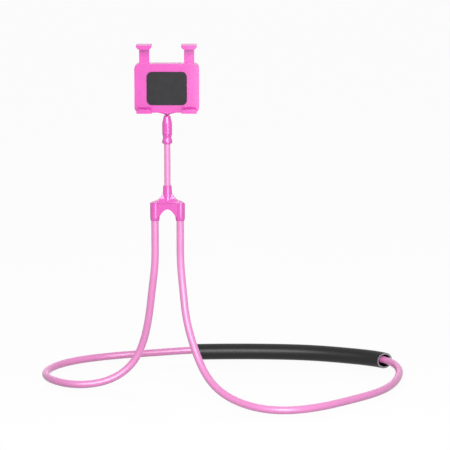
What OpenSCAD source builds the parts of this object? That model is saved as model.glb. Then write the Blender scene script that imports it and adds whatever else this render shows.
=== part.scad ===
// Flexible phone holder worn round the neck or stood on a table.
// A soft-jacketed bendable tube forms a neck loop on the floor, its two ends rise as legs into a yoke,
// and a thinner bendable arm carries a ball joint and a sprung phone clamp.

/* [Neck loop] */
// Width of the neck loop over the centre line of its tube
loop_w = 434; // [415:1:450]
// Depth of the neck loop over the centre line of its tube
loop_d = 255; // [245:1:270]
// Height of the bend of the legs above the floor
bend_h = 175; // [160:1:200]
// Outside diameter of the soft jacket of the loop
tube_d = 9; // [8.6:0.1:9.4]
// Diameter of the bendable wire inside the loop
wire_d = 5; // [4.4:0.1:5.4]
// Lean of the mast each way, in degrees
lean_max = 25; // [10:1:30]

/* [Neck sleeve] */
// Outside diameter of the foam sleeve
sleeve_d = 20; // [18.6:0.1:21]
// Bore of the foam sleeve
sleeve_bore_d = 15; // [13.5:0.1:15.5]

/* [Yoke] */
// Distance between the two legs in the yoke
leg_pitch = 30; // [29:0.5:32]
// Length of leg between the bend and the yoke
leg_show = 31; // [20:1:40]
// Height of the yoke over all
yoke_h = 42; // [41:0.5:48]
// Outside diameter of a leg socket
socket_d = 11.5; // [11.2:0.1:12.4]
// Height of the leg sockets at their outer edge
socket_h = 21; // [20.5:0.5:23]
// Length of leg jacket held in a socket
socket_depth = 13; // [10:0.5:14]
// Rise of the yoke's roof above the outer edge of the sockets
roof_h = 2.6; // [2:0.1:4]
// Thickness of the web between the sockets
web_t = 9.2; // [8:0.1:10]
// Diameter of the neck that holds the arm
yoke_neck_d = 10; // [9.4:0.1:10.4]
// Widening of the neck at its foot
neck_draw = 1.1; // [0.2:0.1:1.4]
// Depth of the roof from front to back
roof_d = 13.6; // [12.8:0.1:14.4]
// Height of the gussets above the roof
gusset_h = 10.2; // [6:0.1:12]
// Height of the arch cut into the web
arch_h = 14; // [12:0.1:15]
// Diameter of a yoke screw's thread
yoke_screw_d = 2.2; // [2:0.1:2.4]

/* [Arm] */
// Outside diameter of the soft jacket of the arm
arm_d = 7.5; // [7.2:0.1:7.8]
// Diameter of the bendable wire inside the arm
arm_wire_d = 3.5; // [3:0.1:4]
// Length of the arm between the yoke and the collar
arm_len = 50.5; // [45:0.5:70]
// Length of arm jacket held in the yoke and in the collar
arm_grip = 11; // [8:0.5:11.5]
// Bend of the arm each way at each of its two bends, in degrees
arm_bend_max = 35; // [10:1:40]

/* [Ball joint] */
// Height of the collar below the lock nut
collar_h = 11; // [10:0.1:13]
// Diameter of the collar's ring
collar_ring_d = 12.2; // [11.8:0.1:13]
// Diameter of the collar's waist
collar_waist_d = 10; // [9.6:0.1:10.6]
// Diameter of the threaded spigot above the collar
spigot_d = 9.2; // [9:0.1:9.4]
// Height of the threaded spigot
spigot_h = 11.5; // [10:0.1:12]
// Outside diameter of the lock nut
nut_d = 11.7; // [11.5:0.1:12.6]
// Height of the lock nut with the gap below it
nut_h = 22; // [21.6:0.1:24]
// Height of the lock nut's cone
nut_cone_h = 6.8; // [5:0.1:7]
// Outside diameter of the lock nut's mouth
nut_mouth_d = 7.6; // [7.4:0.1:8]
// Diameter of the ball
ball_d = 8; // [7.8:0.1:8.2]
// Diameter of the ball's stem
stem_d = 2.9; // [2.4:0.1:3]
// Diameter of the stud's neck above the stem
stud_neck_d = 6.4; // [6:0.1:7]
// Diameter of the dish under the clamp
dish_d = 21; // [18:0.5:24]
// Tilt of the ball each way, in degrees
tilt_max = 15; // [5:1:16]

/* [Phone clamp] */
// Width of the clamp body
body_w = 76; // [76:0.5:84]
// Height of the clamp body
body_h = 57.5; // [56:0.5:60]
// Depth of the rear shell
shell_t = 13; // [12.5:0.1:15]
// Thickness of the front cover
cover_t = 3; // [2.8:0.1:4]
// Wall of the rear shell
wall = 2; // [1.6:0.1:2.2]
// Corner radius of the clamp body
corner_r = 6; // [4:0.5:7]
// Opening of the jaws as shown, from pad to pad
jaw_open = 75.5; // [75:0.5:78]
// Travel of the upper jaw towards closed
jaw_close = 20; // [10:0.5:20]
// Travel of the upper jaw towards fully open
jaw_extra = 8; // [4:0.5:9]
// Width of a claw at its root
claw_w = 18.2; // [16:0.1:19]
// Width of a claw at its tip
claw_tip_w = 14; // [10:0.1:15]
// Thickness of a claw
claw_t = 1.8; // [1.6:0.1:2.4]
// Height of a claw's lip over all
lip_h = 4.8; // [4.4:0.1:7]
// Depth between the grip pad and the inside of a lip
phone_gap = 8.5; // [8:0.1:12]
// Thickness of a claw's lip
lip_t = 2.5; // [2:0.1:3]
// Width of a sliding leg of the upper jaw
rail_w = 12; // [10:0.1:12]
// Thickness of a sliding leg of the upper jaw
rail_t = 4.1; // [3.6:0.1:4.2]
// Thickness of the grip pad
pad_t = 1.5; // [1:0.1:2]
// Thickness of a claw pad
claw_pad_t = 0.5; // [0.4:0.1:0.8]

/* [Springs] */
// Mean diameter of a spring's curls
spring_d = 4.4; // [4:0.1:4.8]
// Diameter of the spring wire
spring_wire_d = 0.6; // [0.5:0.05:0.7]
// Number of curls of a spring
spring_curls = 14; // [8:1:16]

/* [Hidden] */
$fn = 64;

// Fits
// Clearance of a wire in its jacket, and of other snug pieces
snug = 0.1;
// Clearance of a turning or sliding fit
run_fit = 0.05;
// Gap of a soft piece to what carries it
seat_gap = 0.3;
// Gap left between two bent jackets at the end of their travel
bend_gap = 0.15;
// Rim of a jacket round its bend ball
bend_rim = 0.2;
// Overrun of a cutting solid past the face it cuts
over = 0.5;

// Colours
pink_abs = [0.93, 0.39, 0.76];
pink_jacket = [0.97, 0.62, 0.86];
black_foam = [0.13, 0.13, 0.14];
black_rubber = [0.10, 0.10, 0.10];
bare_wire = [0.75, 0.76, 0.78];
steel = [0.62, 0.63, 0.66];
nylon = [0.90, 0.90, 0.86];

// Heights along the mast
tube_r = tube_d / 2;
arm_r = arm_d / 2;
yoke_z = bend_h + leg_show;
yoke_top = yoke_z + yoke_h;
arm_bend_lower_z = yoke_top + arm_len / 3;
arm_bend_upper_z = yoke_top + arm_len * 2 / 3;
collar_z = yoke_top + arm_len;
seam_z = collar_z + collar_h;
spigot_top = seam_z + spigot_h;
nut_top = seam_z + nut_h;
// Depth of the ball's centre below the top of the lock nut
ball_drop = 5;
ball_z = nut_top - ball_drop;
// Gap between the lock nut and the stud's neck
neck_gap = 1.1;
stud_neck_z = nut_top + neck_gap;
// Height of the stud's neck and of the dish's cone and rim
stud_neck_h = 0.6;
dish_cone_h = 2.3;
dish_rim_h = 0.8;
clamp_z = stud_neck_z + stud_neck_h + dish_cone_h + dish_rim_h;

// Route of the loop: each row is a bend point of the tube, as a share of the loop's width and depth,
// of the height of the bend and of the lift inside the sleeve. It runs from the left leg round the
// back of the neck to the right leg, and leaves out the straight ends under the yoke.
route_shares = [
    [0.306, 0.457, 0.683, 0.00],
    [0.296, 0.482, 0.429, 0.00],
    [0.265, 0.502, 0.138, 0.00],
    [0.182, 0.463, 0.000, 0.00],
    [0.070, 0.424, 0.000, 0.00],
    [-0.018, 0.616, 0.000, 0.00],
    [0.018, 0.818, 0.000, 0.00],
    [0.095, 0.936, 0.000, 0.00],
    [0.206, 1.016, 0.000, 0.00],
    [0.320, 0.974, 0.000, 0.73],
    [0.420, 0.993, 0.000, 1.00],
    [0.537, 1.002, 0.000, 1.00],
    [0.651, 0.997, 0.000, 1.00],
    [0.764, 0.976, 0.000, 1.00],
    [0.866, 0.915, 0.000, 0.95],
    [0.981, 0.834, 0.000, 0.80],
    [1.011, 0.650, 0.000, 0.50],
    [0.979, 0.449, 0.000, 0.00],
    [0.925, 0.295, 0.000, 0.00],
    [0.846, 0.173, 0.000, 0.00],
    [0.767, 0.053, 0.000, 0.00],
    [0.666, -0.024, 0.000, 0.00],
    [0.573, 0.045, 0.000, 0.00],
    [0.488, 0.173, 0.052, 0.00],
    [0.439, 0.273, 0.195, 0.00],
    [0.400, 0.373, 0.490, 0.00],
    [0.395, 0.422, 0.641, 0.00]
];
// Place of the mast as a share of the loop's width and depth
mast_shares = [0.3505, 0.4522];
// Run of the straight end of the loop on each side of the bend, as a share of the bend's height
straight_share = 0.14;
// Stretch of the route that the foam sleeve covers
sleeve_shares = [0.40, 0.567];

mast_x = loop_w * mast_shares[0];
mast_y = loop_d * mast_shares[1];
straight_run = (bend_h - tube_r) * straight_share;
sleeve_lift = sleeve_d / 2 + sleeve_bore_d / 2 - tube_d - seat_gap;

function end_points(side) = [
    for (step = [-1, 0, 1])
        [mast_x + side * leg_pitch / 2, mast_y, bend_h + side * step * straight_run]
];
function bend_point(row) = [
    row[0] * loop_w,
    row[1] * loop_d,
    tube_r + row[2] * (bend_h - tube_r) + row[3] * sleeve_lift
];
route = concat(end_points(-1), [for (row = route_shares) bend_point(row)], end_points(1));
spans = len(route) - 3;

// Point of the smooth curve that the bend points pull, at a place counted in spans
function spline_point(points, place) =
    let (i = min(floor(place), len(points) - 4), u = place - i)
    ((1 - u) ^ 3 * points[i]
    + (3 * u ^ 3 - 6 * u ^ 2 + 4) * points[i + 1]
    + (-3 * u ^ 3 + 3 * u ^ 2 + 3 * u + 1) * points[i + 2]
    + u ^ 3 * points[i + 3]) / 6;

// Rings along the loop
rings_per_span = 4;
tube_sides = 12;
wire_sides = 8;
sleeve_sides = 16;
bend_ball_r = tube_r - bend_rim;
pocket_r = bend_ball_r + run_fit;
wire_bore_r = wire_d / 2 + snug;
bend_half_gap = tube_r * tan(lean_max / 2) + bend_gap;
pocket_depth = sqrt(pocket_r ^ 2 - wire_bore_r ^ 2);
// Turns of the pocket's wall, from its rim to the bore
pocket_angles = [asin(bend_half_gap / pocket_r), asin(pocket_depth / pocket_r)];
pocket_steps = 3;
pocket_places = [
    for (i = [0 : pocket_steps])
        let (turn = pocket_angles[0] + (pocket_angles[1] - pocket_angles[0]) * i / pocket_steps)
        pocket_r * sin(turn) / straight_run
];
middle_places = [for (i = [1 : spans * rings_per_span - 1]) i / rings_per_span];
jacket_places = concat(
    pocket_places, middle_places, [for (i = [pocket_steps : -1 : 0]) spans - pocket_places[i]]
);
wire_end_place = (pocket_r + snug) / straight_run;
wire_places = concat([wire_end_place], middle_places, [spans - wire_end_place]);
sleeve_places = [
    for (i = [round(sleeve_shares[0] * spans * rings_per_span)
            : round(sleeve_shares[1] * spans * rings_per_span)])
        i / rings_per_span
];

// The frame's origin lies on the floor under the middle of the whole part
fine_route = [for (place = jacket_places) spline_point(route, place)];
sleeve_route = [
    for (place = sleeve_places)
        let (p = spline_point(route, place))
        [p[0], p[1], sleeve_d / 2]
];
left_x = min([for (p = fine_route) p[0]]);
right_x = max([for (p = fine_route) p[0]]);
front_y = min([for (p = fine_route) p[1]]) - tube_r;
back_y = max(
    max([for (p = sleeve_route) p[1]]) + sleeve_d / 2,
    max([for (p = fine_route) p[1]]) + tube_r
);
middle = [(left_x + right_x) / 2, (front_y + back_y) / 2, 0];

module at_loop() {
    translate(-middle) children();
}

module at_mast() {
    translate([mast_x, mast_y, 0] - middle) children();
}

// Sweeps along a path

function unit(v) = v / norm(v);
function heading(path, i) = unit(path[min(i + 1, len(path) - 1)] - path[max(i - 1, 0)]);
function squared(v, along) = unit(v - (v * along) * along);
// One side vector for each ring, carried along the path without twist
function ring_sides(path, first) = [
    for (i = 0, side = squared(first, heading(path, 0));
        i < len(path);
        side = squared(side, heading(path, min(i + 1, len(path) - 1))), i = i + 1)
        side
];
function ring(centre, along, side, radius, sides) = [
    for (k = [0 : sides - 1])
        let (turn = 360 * k / sides)
        centre + radius * (cos(turn) * side + sin(turn) * cross(along, side))
];
function ring_points(path, radii, sides, first) =
    let (across = ring_sides(path, first))
    [
        for (i = [0 : len(path) - 1])
            each ring(path[i], heading(path, i), across[i], radii[i], sides)
    ];
// Faces of the skin between rings; start is the number of its first point
function skin_faces(rings, sides, start, inward) = [
    for (i = [0 : rings - 2])
        for (k = [0 : sides - 1])
            let (
                a = start + i * sides + k,
                b = start + i * sides + (k + 1) % sides,
                c = b + sides,
                d = a + sides
            )
            each inward ? [[a, b, c], [a, c, d]] : [[a, c, b], [a, d, c]]
];
function rim_faces(outer, inner, sides, first_end) = [
    for (k = [0 : sides - 1])
        let (
            a = outer + k,
            b = outer + (k + 1) % sides,
            c = inner + (k + 1) % sides,
            d = inner + k
        )
        each first_end ? [[a, b, c], [a, c, d]] : [[a, c, b], [a, d, c]]
];

module swept_rod(path, radius, sides, first) {
    rings = len(path);
    last = (rings - 1) * sides;
    polyhedron(
        points = ring_points(path, [for (p = path) radius], sides, first),
        faces = concat(
            skin_faces(rings, sides, 0, false),
            [[for (k = [0 : sides - 1]) k]],
            [[for (k = [sides - 1 : -1 : 0]) last + k]]
        )
    );
}

// The bore's flats, and not its corners, lie at the inner radii
module swept_tube(path, outer_radii, inner_radii, sides, first) {
    rings = len(path);
    inner_start = rings * sides;
    last = (rings - 1) * sides;
    polyhedron(
        points = concat(
            ring_points(path, outer_radii, sides, first),
            ring_points(path, inner_radii / cos(180 / sides), sides, first)
        ),
        faces = concat(
            skin_faces(rings, sides, 0, false),
            skin_faces(rings, sides, inner_start, true),
            rim_faces(0, inner_start, sides, true),
            rim_faces(last, inner_start + last, sides, false)
        )
    );
}

// Loop

function to_bend(place) = min(place, spans - place) * straight_run;
function jacket_bore(place) =
    to_bend(place) < pocket_depth ? sqrt(pocket_r ^ 2 - to_bend(place) ^ 2) : wire_bore_r;

module loop_jacket() {
    color(pink_jacket) at_loop() swept_tube(
        fine_route,
        [for (place = jacket_places) tube_r],
        [for (place = jacket_places) jacket_bore(place)],
        tube_sides,
        [0, 1, 0]
    );
}

module loop_wire() {
    color(bare_wire) at_loop() swept_rod(
        [for (place = wire_places) spline_point(route, place)], wire_d / 2, wire_sides, [0, 1, 0]
    );
}

module neck_sleeve() {
    color(black_foam) at_loop() swept_tube(
        sleeve_route,
        [for (p = sleeve_route) sleeve_d / 2],
        [for (p = sleeve_route) sleeve_bore_d / 2],
        sleeve_sides,
        [0, 0, 1]
    );
}

// Legs above the bend

crimp_wall = 1.5;
leg_crimp_h = 6;
arm_crimp_h = 5;
leg_jacket_top = yoke_z + socket_depth;
leg_crimp_z = leg_jacket_top + seat_gap;
leg_wire_top = leg_crimp_z + leg_crimp_h + seat_gap;

// A straight stretch of soft jacket with a pocket for a bend ball at either end
module jacket_stretch(outer_r, wire_r, low, high, ball_low, ball_high) {
    ball_r = outer_r - bend_rim + run_fit;
    difference() {
        translate([0, 0, low]) cylinder(r = outer_r, h = high - low);
        translate([0, 0, low - over]) cylinder(r = wire_r + snug, h = high - low + 2 * over);
        if (ball_low > 0) translate([0, 0, ball_low]) sphere(r = ball_r);
        if (ball_high > 0) translate([0, 0, ball_high]) sphere(r = ball_r);
    }
}

// A straight stretch of wire, with its bend ball at the lower end where it has one
module wire_stretch(wire_r, jacket_r, low, high, has_ball) {
    translate([0, 0, low]) cylinder(r = wire_r, h = high - low);
    if (has_ball) translate([0, 0, low]) sphere(r = jacket_r - bend_rim);
}

module crimp(wire_r, low, height) {
    translate([0, 0, low]) difference() {
        cylinder(r = wire_r + crimp_wall, h = height);
        translate([0, 0, -over]) cylinder(r = wire_r + run_fit, h = height + 2 * over);
    }
}

module at_leg(side) {
    at_mast() translate([side * leg_pitch / 2, 0, 0]) children();
}

module leg_jacket(side) {
    color(pink_jacket) at_leg(side)
        jacket_stretch(tube_r, wire_d / 2, bend_h + bend_half_gap, leg_jacket_top, bend_h, 0);
}

module leg_wire(side) {
    color(bare_wire) at_leg(side)
        wire_stretch(wire_d / 2, tube_r, bend_h, leg_wire_top, true);
}

module leg_crimps() {
    color(steel)
        for (side = [-1, 1]) at_leg(side) crimp(wire_d / 2, leg_crimp_z, leg_crimp_h);
}

// Yoke: the block that joins both legs to the arm, in a front and a rear half

socket_r = socket_d / 2;
roof_low_z = yoke_z + socket_h;
roof_z = roof_low_z + roof_h;
// The roof is flat over the middle and slopes down over the outer part of each socket
roof_half_w = leg_pitch / 2 + socket_r;
roof_flat_half_w = leg_pitch / 2 - socket_r * 0.4;
// Thickness of the roof's edge, and its step behind the sockets' front at its ends
roof_edge_h = 1.6;
roof_step = 0.3;
yoke_neck_r = yoke_neck_d / 2;
// Height and draw of the taper at the foot of a socket
taper_h = 4;
taper_in = 0.5;
// Height of the web's foot above the foot of the sockets
web_foot = 5;
arch_crown = yoke_z + arch_h;
// Half of the arch's width at the foot of the sockets, inside them
arch_half_w = leg_pitch / 2 - socket_r / 2;
arch_points = 12;
arm_jacket_low = yoke_top - arm_grip;
arm_crimp_z = arm_jacket_low - seat_gap - arm_crimp_h;

module yoke_socket() {
    translate([0, 0, yoke_z]) cylinder(r1 = socket_r - taper_in, r2 = socket_r, h = taper_h);
    translate([0, 0, yoke_z + taper_h]) cylinder(r = socket_r, h = roof_z - yoke_z - taper_h);
}

// The arch is a parabola from the crown to the foot of the sockets
module arch_outline() {
    drop = arch_h + over;
    polygon([
        for (i = [-arch_points : arch_points])
            let (share = i / arch_points)
            [share * arch_half_w, arch_crown - share * share * drop]
    ]);
}

module yoke_web() {
    web_z = yoke_z + web_foot;
    difference() {
        translate([-leg_pitch / 2, -web_t / 2, web_z])
            cube([leg_pitch, web_t, roof_z - web_z]);
        rotate([90, 0, 0]) linear_extrude(web_t + 2 * over, center = true) arch_outline();
    }
}

// The roof stands out in front of the web and narrows to the sockets
module yoke_roof() {
    end_x = leg_pitch / 2;
    end_y = socket_r - roof_step;
    translate([0, 0, roof_z - roof_edge_h]) linear_extrude(roof_edge_h) polygon([
        [-end_x, -end_y], [-roof_flat_half_w, -roof_d / 2], [roof_flat_half_w, -roof_d / 2], [end_x, -end_y],
        [end_x, end_y], [roof_flat_half_w, roof_d / 2], [-roof_flat_half_w, roof_d / 2], [-end_x, end_y]
    ]);
}

// What lies over the roof, seen from the front
module over_roof() {
    side = roof_half_w + over;
    // The slope runs on past the sockets at the same rate
    side_z = roof_low_z - over * roof_h / (roof_half_w - roof_flat_half_w);
    rotate([90, 0, 0]) linear_extrude(roof_d + 2 * over, center = true) polygon([
        [-side, side_z], [-roof_flat_half_w, roof_z], [roof_flat_half_w, roof_z], [side, side_z],
        [side, roof_z + over], [-side, roof_z + over]
    ]);
}

// The neck stands on the roof between two gussets with a hollow edge, which get thinner as they rise
gusset_run = roof_flat_half_w - yoke_neck_r;
gusset_points = 8;
// How much the edge of a gusset is hollowed
gusset_hollow = 1.5;
// Height of the steep slope at the gussets' foot, and their half thickness over it and at their top
gusset_foot_h = 2.6;
gusset_foot_y = yoke_neck_r;
gusset_top_y = 1.5;
gusset_foot_z = roof_z - over;

// The gussets seen from the front
module gusset_outline() {
    polygon(concat(
        [[-roof_flat_half_w, gusset_foot_z]],
        [
            for (i = [-gusset_points : gusset_points])
                let (share = abs(i) / gusset_points)
                [
                    sign(i) * (yoke_neck_r + share * gusset_run),
                    roof_z + gusset_h * (1 - share) ^ gusset_hollow
                ]
        ],
        [[roof_flat_half_w, gusset_foot_z]]
    ));
}

// The gussets seen from the side
module gusset_side() {
    slope_z = roof_z + gusset_foot_h;
    gusset_top_z = roof_z + gusset_h + over;
    polygon([
        [-roof_d / 2, gusset_foot_z], [-roof_d / 2, roof_z], [-gusset_foot_y, slope_z],
        [-gusset_top_y, gusset_top_z], [gusset_top_y, gusset_top_z],
        [gusset_foot_y, slope_z], [roof_d / 2, roof_z], [roof_d / 2, gusset_foot_z]
    ]);
}

module yoke_neck() {
    translate([0, 0, gusset_foot_z])
        cylinder(r1 = yoke_neck_r + neck_draw, r2 = yoke_neck_r, h = yoke_top - gusset_foot_z);
    intersection() {
        rotate([90, 0, 0]) linear_extrude(roof_d + over, center = true) gusset_outline();
        rotate([90, 0, 90]) linear_extrude(2 * roof_half_w, center = true) gusset_side();
    }
}

module bore(radius, low, high) {
    translate([0, 0, low]) cylinder(r = radius, h = high - low);
}

yoke_screw_x = leg_pitch * 0.22;
yoke_screw_z = (arch_crown + roof_z) / 2;
yoke_head_r = yoke_screw_d;
yoke_head_h = 1.6;
// Depth of the screw's head below the rear face, and of its tip below the front face
yoke_head_sink = 0.4;
yoke_tip_cover = 1.8;
yoke_cut = yoke_head_sink + yoke_head_h;

module at_yoke_screws() {
    for (side = [-1, 1])
        translate([side * yoke_screw_x, 0, yoke_screw_z]) rotate([90, 0, 0]) children();
}

module yoke_block() {
    difference() {
        union() {
            difference() {
                union() {
                    for (side = [-1, 1]) translate([side * leg_pitch / 2, 0, 0]) yoke_socket();
                    yoke_web();
                    yoke_roof();
                }
                over_roof();
            }
            yoke_neck();
        }
        for (side = [-1, 1]) translate([side * leg_pitch / 2, 0, 0]) {
            bore(tube_r + run_fit, yoke_z - over, leg_jacket_top);
            bore(wire_d / 2 + crimp_wall + run_fit, leg_jacket_top - run_fit, leg_wire_top + seat_gap);
        }
        bore(arm_r + run_fit, arm_jacket_low, yoke_top + over);
        bore(
            arm_wire_d / 2 + crimp_wall + run_fit, arm_crimp_z - 2 * seat_gap, arm_jacket_low + run_fit
        );
        at_yoke_screws() {
            translate([0, 0, -web_t / 2 - over]) cylinder(r = yoke_head_r + snug, h = over + yoke_cut);
            translate([0, 0, -web_t / 2])
                cylinder(r = yoke_screw_d / 2 + run_fit, h = web_t - yoke_tip_cover + seat_gap);
        }
    }
}
module half_space(sign) {
    size = 2 * yoke_h + leg_pitch;
    translate([-size / 2, sign > 0 ? 0 : -size, yoke_z - size / 4]) cube([size, size, size]);
}

module yoke_front() {
    color(pink_abs) at_mast() intersection() {
        yoke_block();
        half_space(-1);
    }
}

module yoke_rear() {
    color(pink_abs) at_mast() intersection() {
        yoke_block();
        half_space(1);
    }
}

module yoke_screws() {
    color(steel) at_mast() at_yoke_screws() {
        translate([0, 0, -web_t / 2 + yoke_head_sink]) difference() {
            cylinder(r = yoke_head_r, h = yoke_head_h);
            cross_slot(yoke_head_r, yoke_head_h / 2);
        }
        translate([0, 0, -web_t / 2 + yoke_cut - over])
            cylinder(r = yoke_screw_d / 2, h = web_t - yoke_cut - yoke_tip_cover + over);
    }
}

// The crossed drive of a screw's head, open towards -Z
module cross_slot(head_r, depth) {
    slot_w = head_r * 0.35;
    slot_l = head_r * 1.3;
    for (turn = [0, 90])
        rotate([0, 0, turn]) translate([-slot_l / 2, -slot_w / 2, -over]) cube([slot_l, slot_w, depth + over]);
}

// Arm

arm_half_gap = arm_r * tan(arm_bend_max / 2) + bend_gap;
arm_ball_r = arm_r - bend_rim;
arm_jacket_top = collar_z + arm_grip;
arm_crimp_top_z = arm_jacket_top + seat_gap;
arm_wire_low = arm_crimp_z - seat_gap;
arm_wire_top = arm_crimp_top_z + arm_crimp_h + seat_gap;
arm_wire_stop = arm_ball_r + run_fit + snug;

module arm_jacket_lower() {
    color(pink_jacket) at_mast() jacket_stretch(
        arm_r, arm_wire_d / 2, arm_jacket_low, arm_bend_lower_z - arm_half_gap, 0, arm_bend_lower_z
    );
}

module arm_jacket_middle() {
    color(pink_jacket) at_mast() jacket_stretch(
        arm_r, arm_wire_d / 2, arm_bend_lower_z + arm_half_gap, arm_bend_upper_z - arm_half_gap,
        arm_bend_lower_z, arm_bend_upper_z
    );
}

module arm_jacket_upper() {
    color(pink_jacket) at_mast() jacket_stretch(
        arm_r, arm_wire_d / 2, arm_bend_upper_z + arm_half_gap, arm_jacket_top, arm_bend_upper_z, 0
    );
}

module arm_wire_lower() {
    color(bare_wire) at_mast()
        wire_stretch(arm_wire_d / 2, arm_r, arm_wire_low, arm_bend_lower_z - arm_wire_stop, false);
}

module arm_wire_middle() {
    color(bare_wire) at_mast() wire_stretch(
        arm_wire_d / 2, arm_r, arm_bend_lower_z, arm_bend_upper_z - arm_wire_stop, true
    );
}

module arm_wire_upper() {
    color(bare_wire) at_mast()
        wire_stretch(arm_wire_d / 2, arm_r, arm_bend_upper_z, arm_wire_top, true);
}

module arm_crimp_lower() {
    color(steel) at_mast() crimp(arm_wire_d / 2, arm_crimp_z, arm_crimp_h);
}

module arm_crimp_upper() {
    color(steel) at_mast() crimp(arm_wire_d / 2, arm_crimp_top_z, arm_crimp_h);
}

// Ball joint

// Outline of the collar as shares of its height, each with its radius
function collar_outline() = [
    [0, 0],
    [collar_ring_d / 2 - 1.2 * bevel, 0],
    [collar_ring_d / 2 - 0.3 * bevel, 0.05 * collar_h],
    [collar_ring_d / 2, 0.12 * collar_h],
    [collar_ring_d / 2, 0.28 * collar_h],
    [collar_ring_d / 2 - 0.3 * bevel, 0.36 * collar_h],
    [collar_waist_d / 2 + 0.1 * bevel, 0.55 * collar_h],
    [collar_waist_d / 2, 0.66 * collar_h],
    [collar_waist_d / 2 + 0.25 * bevel, 0.80 * collar_h],
    [nut_d / 2 - 0.3 * bevel, 0.95 * collar_h],
    [nut_d / 2 - 0.3 * bevel, collar_h],
    [spigot_d / 2, collar_h],
    [spigot_d / 2, collar_h + spigot_h - 0.5 * bevel],
    [spigot_d / 2 - 0.5 * bevel, collar_h + spigot_h],
    [0, collar_h + spigot_h]
];
bevel = 0.8;

module ball_collar() {
    color(pink_abs) at_mast() difference() {
        translate([0, 0, collar_z]) rotate_extrude() polygon(collar_outline());
        bore(arm_r + run_fit, collar_z - over, arm_jacket_top);
        bore(
            arm_wire_d / 2 + crimp_wall + run_fit, arm_jacket_top - run_fit, arm_wire_top + seat_gap
        );
    }
}

// The ball's seat in the nut meets the ball at this radius
mouth_r = ball_d * 0.375;
mouth_top_r = mouth_r + run_fit * 2;
seat_r = spigot_d / 2 - snug;
seat_top = ball_z - ball_d * 0.07;

module lock_nut() {
    nut_low = seam_z + 2 * snug;
    outline = [
        [0, nut_low],
        [nut_d / 2 - bevel / 2, nut_low],
        [nut_d / 2, nut_low + bevel / 2],
        [nut_d / 2, nut_top - nut_cone_h - 2 * bevel],
        [nut_d / 2 - 0.15 * bevel, nut_top - nut_cone_h - bevel],
        [nut_d / 2 - 0.55 * bevel, nut_top - nut_cone_h],
        [nut_mouth_d / 2 + 0.3 * bevel, nut_top - 0.5 * bevel],
        [nut_mouth_d / 2, nut_top],
        [0, nut_top]
    ];
    color(pink_abs) at_mast() difference() {
        rotate_extrude() polygon(outline);
        bore(spigot_d / 2 + run_fit, nut_low - over, ball_z + ball_d * 0.15);
        translate([0, 0, ball_z]) sphere(r = ball_d / 2 + run_fit);
        translate([0, 0, ball_z]) cylinder(r1 = mouth_r - snug, r2 = mouth_top_r, h = ball_drop);
        bore(mouth_top_r, nut_top - snug, nut_top + over);
    }
}

module ball_seat() {
    color(nylon) at_mast() difference() {
        bore(seat_r, spigot_top + run_fit, seat_top);
        translate([0, 0, ball_z]) sphere(r = ball_d / 2 + run_fit);
        bore(stem_d / 2, spigot_top - over, ball_z);
    }
}

key_w = 9;
key_h = 1.8;
stud_root_d = 6;

module ball_stud() {
    dish_r = dish_d / 2;
    cone_z = stud_neck_z + stud_neck_h;
    rim_z = cone_z + dish_cone_h;
    color(pink_abs) at_mast() {
        translate([0, 0, ball_z]) sphere(r = ball_d / 2);
        bore(stem_d / 2, ball_z, stud_neck_z + over);
        bore(stud_neck_d / 2, stud_neck_z, cone_z);
        translate([0, 0, cone_z]) cylinder(r1 = stud_neck_d / 2, r2 = dish_r - bevel / 2, h = dish_cone_h);
        bore(dish_r, rim_z, clamp_z);
        bore(stud_root_d / 2, clamp_z - dish_rim_h / 2, clamp_z + wall + key_h / 2);
        translate([-key_w / 2, -key_w / 2, clamp_z + wall]) cube([key_w, key_w, key_h]);
    }
}

// Phone clamp: the body is centred on the mast, and its front faces -Y

body_t = shell_t + cover_t;
front_face = -body_t / 2;
parting = front_face + cover_t;
back_face = body_t / 2;
body_top = clamp_z + body_h;
inner_back = back_face - wall;
lip_back = front_face - pad_t - phone_gap;
lip_front = lip_back - lip_t;
rail_front = parting + snug;
rail_back = rail_front + rail_t;
// Height of the lower claws above the foot of the body
claw_rise = 0.5;
lower_claw_z = clamp_z + claw_rise;
jaw_low = lower_claw_z + claw_t + claw_pad_t;
jaw_high = jaw_low + jaw_open;
upper_claw_top = jaw_high + claw_pad_t + claw_t;
// Bar that joins the two sliding legs inside the body
bar_h = 8;
bar_top = body_top - wall - seat_gap - jaw_extra;
bar_low = bar_top - bar_h;
screw_d = 2.2;
screw_head_r = 2;
screw_head_h = 1.6;
screw_sink = 0.3;
screw_tip_cover = 1;
boss_r = 1.9;
// Widening of a boss where it meets the shell, under the screw's head
boss_foot = 0.7;
screw_x = body_w / 2 - wall - boss_r + 0.4 * wall;
screw_inset = corner_r + boss_r / 4;
// Gap between a boss and the sliding leg beside it
rail_gap = 0.7;
rail_x = screw_x - boss_r - rail_gap - rail_w / 2;
bar_half_w = rail_x + rail_w / 2 - snug;
peg_r = 1.1;
spring_x = 12;
spring_y = (rail_back + inner_back) / 2;
anchor_z = clamp_z + wall + key_h + peg_r + 2 * seat_gap;
hook_z = bar_top - bar_h / 2;

module rounded_plate(width, height, radius) {
    translate([-width / 2 + radius, 0]) square([width - 2 * radius, height]);
    translate([-width / 2, radius]) square([width, height - 2 * radius]);
    for (x = [-1, 1], z = [radius, height - radius])
        translate([x * (width / 2 - radius), z]) circle(r = radius);
}

// A plate that stands up from a height, between two depths
module upright(front, back, low) {
    translate([0, back, low]) rotate([90, 0, 0]) linear_extrude(back - front) children();
}

module at_body_screws() {
    for (side = [-1, 1], z = [clamp_z + screw_inset, body_top - screw_inset])
        translate([side * screw_x, back_face, z]) rotate([90, 0, 0]) children();
}

panel_w = body_w * 0.62;
panel_h = body_h * 0.66;
panel_t = 1.2;
slot_gap = 2 * snug;

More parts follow.
